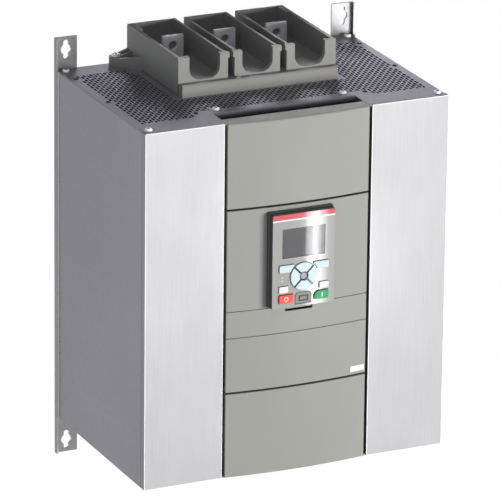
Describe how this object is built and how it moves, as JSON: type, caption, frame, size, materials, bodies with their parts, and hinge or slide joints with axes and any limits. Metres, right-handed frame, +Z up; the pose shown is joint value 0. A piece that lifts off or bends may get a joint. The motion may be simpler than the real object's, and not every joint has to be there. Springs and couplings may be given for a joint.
{
  "type": "soft starter",
  "caption": "Wall-mounted motor soft starter: sheet metal enclosure with perforated top, open terminal bays, curved grey covers and a pull-off keypad with display.",
  "frame": {"origin": "middle of the back face, in the wall's plane, at mid-height of the enclosure without its ears", "axes": "+X to the right seen from the front, +Y back to the wall, +Z up"},
  "size_m": [0.364, 0.268, 0.4957],
  "materials": {
    "grey_paint": "fine textured grey powder coat",
    "zinc_rail": "grey powder coat on folded steel",
    "brushed_sheet": "vertically brushed bare sheet",
    "black_plastic": "black moulded plastic",
    "cover_plastic": "light warm grey moulded plastic, fine texture",
    "label_white": "blank white film label",
    "shroud_plastic": "grey glass-filled moulding",
    "tinned_bar": "tin plated copper bar",
    "zinc_screw": "bright zinc plated steel",
    "dark_rivet": "painted rivet heads",
    "heatsink_alu": "extruded aluminium",
    "module_plastic": "dark moulded housings",
    "board_green": "green solder mask",
    "strip_plastic": "terminal block moulding",
    "fan_plastic": "black fan moulding",
    "keypad_dark": "dark grey moulded housing",
    "fascia_film": "glossy grey front foil with a red band",
    "lcd_panel": "grey display panel",
    "display_lens": "clear display lens",
    "key_blue": "pale blue silicone keys",
    "key_white": "white keys",
    "key_red": "red key",
    "key_green": "green key",
    "flap_grey": "grey socket flap",
    "lamp_green": "light pipes"
  },
  "bodies": {
    "enclosure": {"back_plate": "grey_paint", "left_mounting_rail": "zinc_rail", "right_mounting_rail": "zinc_rail", "left_side_panel": "grey_paint", "right_side_panel": "grey_paint", "top_vent_plate": "grey_paint", "bottom_vent_plate": "grey_paint", "left_front_panel": "brushed_sheet", "right_front_panel": "brushed_sheet", "front_carrier": "black_plastic", "middle_cover": "cover_plastic", "blank_label": "label_white", "line_terminal_shroud": "shroud_plastic", "load_terminal_shroud": "shroud_plastic", "line_terminal_bar_1": "tinned_bar", "line_terminal_bar_2": "tinned_bar", "line_terminal_bar_3": "tinned_bar", "load_terminal_bar_1": "tinned_bar", "load_terminal_bar_2": "tinned_bar", "load_terminal_bar_3": "tinned_bar", "panel_screws": "zinc_screw", "edge_rivets": "dark_rivet", "shroud_screws": "zinc_screw", "bar_bolts": "zinc_screw", "heatsink": "heatsink_alu", "thyristor_module_1": "module_plastic", "thyristor_module_2": "module_plastic", "thyristor_module_3": "module_plastic", "bypass_contactor": "module_plastic", "current_transformer_1": "module_plastic", "current_transformer_2": "module_plastic", "current_transformer_3": "module_plastic", "control_board": "board_green", "gate_driver_board": "board_green", "control_terminal_strip": "strip_plastic", "left_fan_frame": "fan_plastic", "right_fan_frame": "fan_plastic"},
    "keypad": {"keypad_housing": "keypad_dark", "keypad_fascia": "fascia_film", "display_module": "lcd_panel", "display_window": "display_lens", "keypad_board": "board_green", "status_lights": "lamp_green"},
    "upper_cover": {"upper_cover": "cover_plastic"},
    "lower_cover": {"lower_cover": "cover_plastic"},
    "left_fan_rotor": {"left_fan_rotor": "fan_plastic"},
    "right_fan_rotor": {"right_fan_rotor": "fan_plastic"},
    "usb_cover": {"usb_cover": "flap_grey"},
    "keypad_latch": {"keypad_latch": "cover_plastic"},
    "left_soft_key": {"left_soft_key": "key_blue"},
    "right_soft_key": {"right_soft_key": "key_blue"},
    "up_key": {"up_key": "key_blue"},
    "right_key": {"right_key": "key_blue"},
    "down_key": {"down_key": "key_blue"},
    "left_key": {"left_key": "key_blue"},
    "info_key": {"info_key": "key_white"},
    "local_remote_key": {"local_remote_key": "key_white"},
    "stop_key": {"stop_key": "key_red"},
    "start_key": {"start_key": "key_green"}
  },
  "joints": [
    {"name": "upper_cover_pull", "type": "slide", "parent": "enclosure", "child": "upper_cover", "axis": [0, -1, 0], "range_m": [0, 0.04]},
    {"name": "lower_cover_pull", "type": "slide", "parent": "enclosure", "child": "lower_cover", "axis": [0, -1, 0], "range_m": [0, 0.04]},
    {"name": "keypad_pull", "type": "slide", "parent": "enclosure", "child": "keypad", "axis": [0, -1, 0], "range_m": [0, 0.03]},
    {"name": "keypad_latch_press", "type": "slide", "parent": "keypad", "child": "keypad_latch", "axis": [0, 0, 1], "range_m": [0, 0.002], "stiffness_N_per_m": 600, "springref_m": -0.001},
    {"name": "usb_cover_hinge", "type": "hinge", "parent": "keypad", "child": "usb_cover", "pos_m": [0, -0.2652, -0.0052], "axis": [1, 0, 0], "range_deg": [0, 95]},
    {"name": "left_soft_key_press", "type": "slide", "parent": "keypad", "child": "left_soft_key", "axis": [0, 1, 0], "range_m": [0, 0.001], "stiffness_N_per_m": 800, "springref_m": -0.0006},
    {"name": "right_soft_key_press", "type": "slide", "parent": "keypad", "child": "right_soft_key", "axis": [0, 1, 0], "range_m": [0, 0.001], "stiffness_N_per_m": 800, "springref_m": -0.0006},
    {"name": "up_key_press", "type": "slide", "parent": "keypad", "child": "up_key", "axis": [0, 1, 0], "range_m": [0, 0.001], "stiffness_N_per_m": 800, "springref_m": -0.0006},
    {"name": "right_key_press", "type": "slide", "parent": "keypad", "child": "right_key", "axis": [0, 1, 0], "range_m": [0, 0.001], "stiffness_N_per_m": 800, "springref_m": -0.0006},
    {"name": "down_key_press", "type": "slide", "parent": "keypad", "child": "down_key", "axis": [0, 1, 0], "range_m": [0, 0.001], "stiffness_N_per_m": 800, "springref_m": -0.0006},
    {"name": "left_key_press", "type": "slide", "parent": "keypad", "child": "left_key", "axis": [0, 1, 0], "range_m": [0, 0.001], "stiffness_N_per_m": 800, "springref_m": -0.0006},
    {"name": "info_key_press", "type": "slide", "parent": "keypad", "child": "info_key", "axis": [0, 1, 0], "range_m": [0, 0.001], "stiffness_N_per_m": 800, "springref_m": -0.0006},
    {"name": "local_remote_key_press", "type": "slide", "parent": "keypad", "child": "local_remote_key", "axis": [0, 1, 0], "range_m": [0, 0.001], "stiffness_N_per_m": 800, "springref_m": -0.0006},
    {"name": "stop_key_press", "type": "slide", "parent": "keypad", "child": "stop_key", "axis": [0, 1, 0], "range_m": [0, 0.001], "stiffness_N_per_m": 800, "springref_m": -0.0006},
    {"name": "start_key_press", "type": "slide", "parent": "keypad", "child": "start_key", "axis": [0, 1, 0], "range_m": [0, 0.001], "stiffness_N_per_m": 800, "springref_m": -0.0006},
    {"name": "left_fan_spin", "type": "hinge", "parent": "enclosure", "child": "left_fan_rotor", "pos_m": [-0.123, -0.118, -0.19], "axis": [0, 0, 1], "continuous": true},
    {"name": "right_fan_spin", "type": "hinge", "parent": "enclosure", "child": "right_fan_rotor", "pos_m": [0.123, -0.118, -0.19], "axis": [0, 0, 1], "continuous": true}
  ]
}
